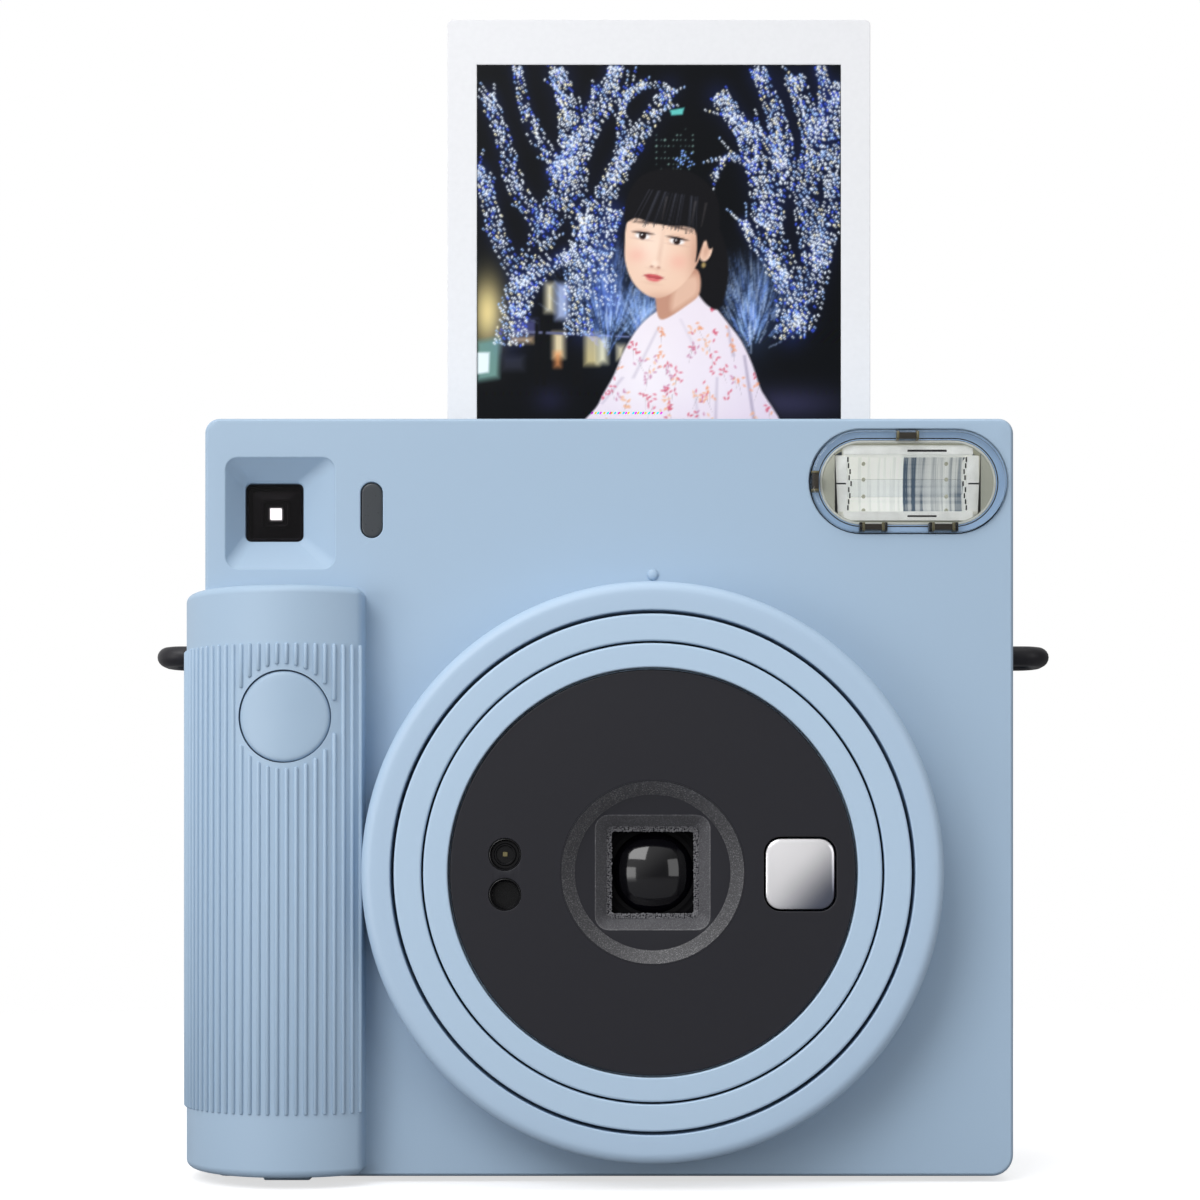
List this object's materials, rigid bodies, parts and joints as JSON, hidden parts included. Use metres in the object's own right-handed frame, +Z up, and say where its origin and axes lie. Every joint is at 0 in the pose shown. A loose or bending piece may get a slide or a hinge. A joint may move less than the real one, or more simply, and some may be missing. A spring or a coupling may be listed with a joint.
{
  "type": "instant camera",
  "caption": "Compact instant film camera with a twist-out lens barrel, ribbed grip, flash, back door and a print leaving its top slot.",
  "frame": {"origin": "midpoint of the bounding box in X and Y, on the plane the feet stand on", "axes": "+Z up, out of the print slot; -Y out of the lens; +X to the viewer's right when facing the lens"},
  "size_m": [0.1504, 0.0576, 0.1939],
  "materials": {
    "blue_plastic": "satin",
    "black_plastic": "satin",
    "matt_black": "matt",
    "clear_glass": "clear",
    "dark_window": "smoked",
    "amber_window": "smoked",
    "mirror": "polished",
    "reflector": "polished",
    "grey_plastic": "matt",
    "steel": "brushed",
    "white_nylon": "satin",
    "circuit_board": "satin",
    "capacitor_sleeve": "gloss",
    "battery_sleeve": "satin",
    "print_paper": "satin"
  },
  "bodies": {
    "camera": {"front_cover": "blue_plastic", "rear_cover": "blue_plastic", "grip_shell": "blue_plastic", "ring_retainer": "black_plastic", "barrel_guide": "black_plastic", "film_pack": "black_plastic", "slot_trim": "black_plastic", "strap_lug_left": "black_plastic", "strap_lug_right": "black_plastic", "battery_holder": "black_plastic", "dark_chamber": "matt_black", "viewfinder_tunnel": "matt_black", "flash_window": "clear_glass", "flash_tube": "clear_glass", "counter_window": "clear_glass", "flash_sensor_window": "dark_window", "viewfinder_window": "dark_window", "viewfinder_eyepiece": "dark_window", "flash_reflector": "reflector", "flash_housing": "grey_plastic", "cover_screw_1": "steel", "cover_screw_2": "steel", "cover_screw_3": "steel", "cover_screw_4": "steel", "drive_motor": "steel", "door_hinge_pin": "steel", "roller_bracket_left": "steel", "roller_bracket_right": "steel", "shutter_switch": "circuit_board", "circuit_board": "circuit_board", "flash_capacitor": "capacitor_sleeve", "battery_lower": "battery_sleeve", "battery_upper": "battery_sleeve", "film_stack": "print_paper"},
    "shutter_button": {"shutter_button": "blue_plastic"},
    "lens_ring": {"lens_ring": "blue_plastic"},
    "outer_barrel": {"outer_barrel": "blue_plastic"},
    "inner_barrel": {"inner_barrel": "blue_plastic", "face_plate": "black_plastic", "selfie_mirror": "mirror", "lower_sensor_lens": "dark_window", "upper_sensor_lens": "dark_window", "lens_hood": "black_plastic", "lens_cell": "matt_black", "front_lens": "clear_glass", "rear_lens": "clear_glass", "light_tube": "matt_black", "shutter_plate": "black_plastic"},
    "blade_left": {"shutter_blade_left": "matt_black"},
    "blade_right": {"shutter_blade_right": "matt_black"},
    "front_roller": {"front_roller": "steel"},
    "rear_roller": {"rear_roller": "steel"},
    "idler": {"idler_gear": "white_nylon"},
    "motor_pinion": {"motor_pinion": "white_nylon"},
    "print": {"instant_print": "print_paper"},
    "film_door": {"film_door": "blue_plastic", "film_window": "amber_window"},
    "door_latch": {"door_latch": "blue_plastic"},
    "battery_door": {"battery_door": "blue_plastic"},
    "counter_dial": {"counter_dial": "white_nylon"}
  },
  "joints": [
    {"name": "shutter_button_press", "type": "slide", "parent": "camera", "child": "shutter_button", "axis": [0, 1, 0], "range_m": [0, 0.0012], "stiffness_N_per_m": 300},
    {"name": "lens_ring_turn", "type": "hinge", "parent": "camera", "child": "lens_ring", "pos_m": [0.00835, 0, 0.04866], "axis": [0, -1, 0], "range_deg": [0, 60]},
    {"name": "outer_barrel_extend", "type": "slide", "parent": "camera", "child": "outer_barrel", "axis": [0, -1, 0], "range_m": [0, 0.007]},
    {"name": "inner_barrel_extend", "type": "slide", "parent": "outer_barrel", "child": "inner_barrel", "axis": [0, -1, 0], "range_m": [0, 0.007]},
    {"name": "shutter_blade_left_turn", "type": "hinge", "parent": "inner_barrel", "child": "blade_left", "pos_m": [-0.00365, 0, 0.04866], "axis": [0, -1, 0], "range_deg": [0, 55]},
    {"name": "shutter_blade_right_turn", "type": "hinge", "parent": "inner_barrel", "child": "blade_right", "pos_m": [0.02035, 0, 0.04866], "axis": [0, -1, 0], "range_deg": [-55, 0]},
    {"name": "print_eject", "type": "slide", "parent": "camera", "child": "print", "axis": [0, 0, 1], "range_m": [-0.102, 0.014]},
    {"name": "front_roller_spin", "type": "hinge", "parent": "camera", "child": "front_roller", "pos_m": [0, 0.00905, 0.1115], "axis": [1, 0, 0], "range_deg": [-1700, 300]},
    {"name": "rear_roller_spin", "type": "hinge", "parent": "camera", "child": "rear_roller", "pos_m": [0, 0.01695, 0.1115], "axis": [1, 0, 0], "range_deg": [-300, 1700]},
    {"name": "idler_spin", "type": "hinge", "parent": "camera", "child": "idler", "pos_m": [-0.0345, 0.00905, 0.09669], "axis": [1, 0, 0], "range_deg": [-120, 650]},
    {"name": "motor_pinion_spin", "type": "hinge", "parent": "camera", "child": "motor_pinion", "pos_m": [-0.0345, 0.013, 0.08395], "axis": [1, 0, 0], "range_deg": [-2700, 400]},
    {"name": "film_door_open", "type": "hinge", "parent": "camera", "child": "film_door", "pos_m": [0.063, 0.02685, 0.053], "axis": [0, 0, -1], "range_deg": [0, 110]},
    {"name": "door_latch_slide", "type": "slide", "parent": "camera", "child": "door_latch", "axis": [0, 0, -1], "range_m": [0, 0.0026], "stiffness_N_per_m": 200},
    {"name": "battery_door_open", "type": "hinge", "parent": "camera", "child": "battery_door", "pos_m": [-0.0652, 0.0115, 0.0102], "axis": [0, -1, 0], "range_deg": [0, 100]},
    {"name": "counter_dial_turn", "type": "hinge", "parent": "camera", "child": "counter_dial", "pos_m": [-0.0515, 0.025, 0.0736], "axis": [0, 1, 0], "range_deg": [0, 330]}
  ],
  "couplings": [
    {"joint": "outer_barrel_extend", "follows": "lens_ring_turn", "m_per_rad": 0.0066},
    {"joint": "inner_barrel_extend", "follows": "lens_ring_turn", "m_per_rad": 0.0066},
    {"joint": "shutter_blade_right_turn", "follows": "shutter_blade_left_turn", "ratio": -1},
    {"joint": "front_roller_spin", "follows": "print_eject", "rad_per_m": 285.71},
    {"joint": "rear_roller_spin", "follows": "print_eject", "rad_per_m": -285.71},
    {"joint": "idler_spin", "follows": "print_eject", "rad_per_m": -103.9},
    {"joint": "motor_pinion_spin", "follows": "print_eject", "rad_per_m": 457.14}
  ]
}
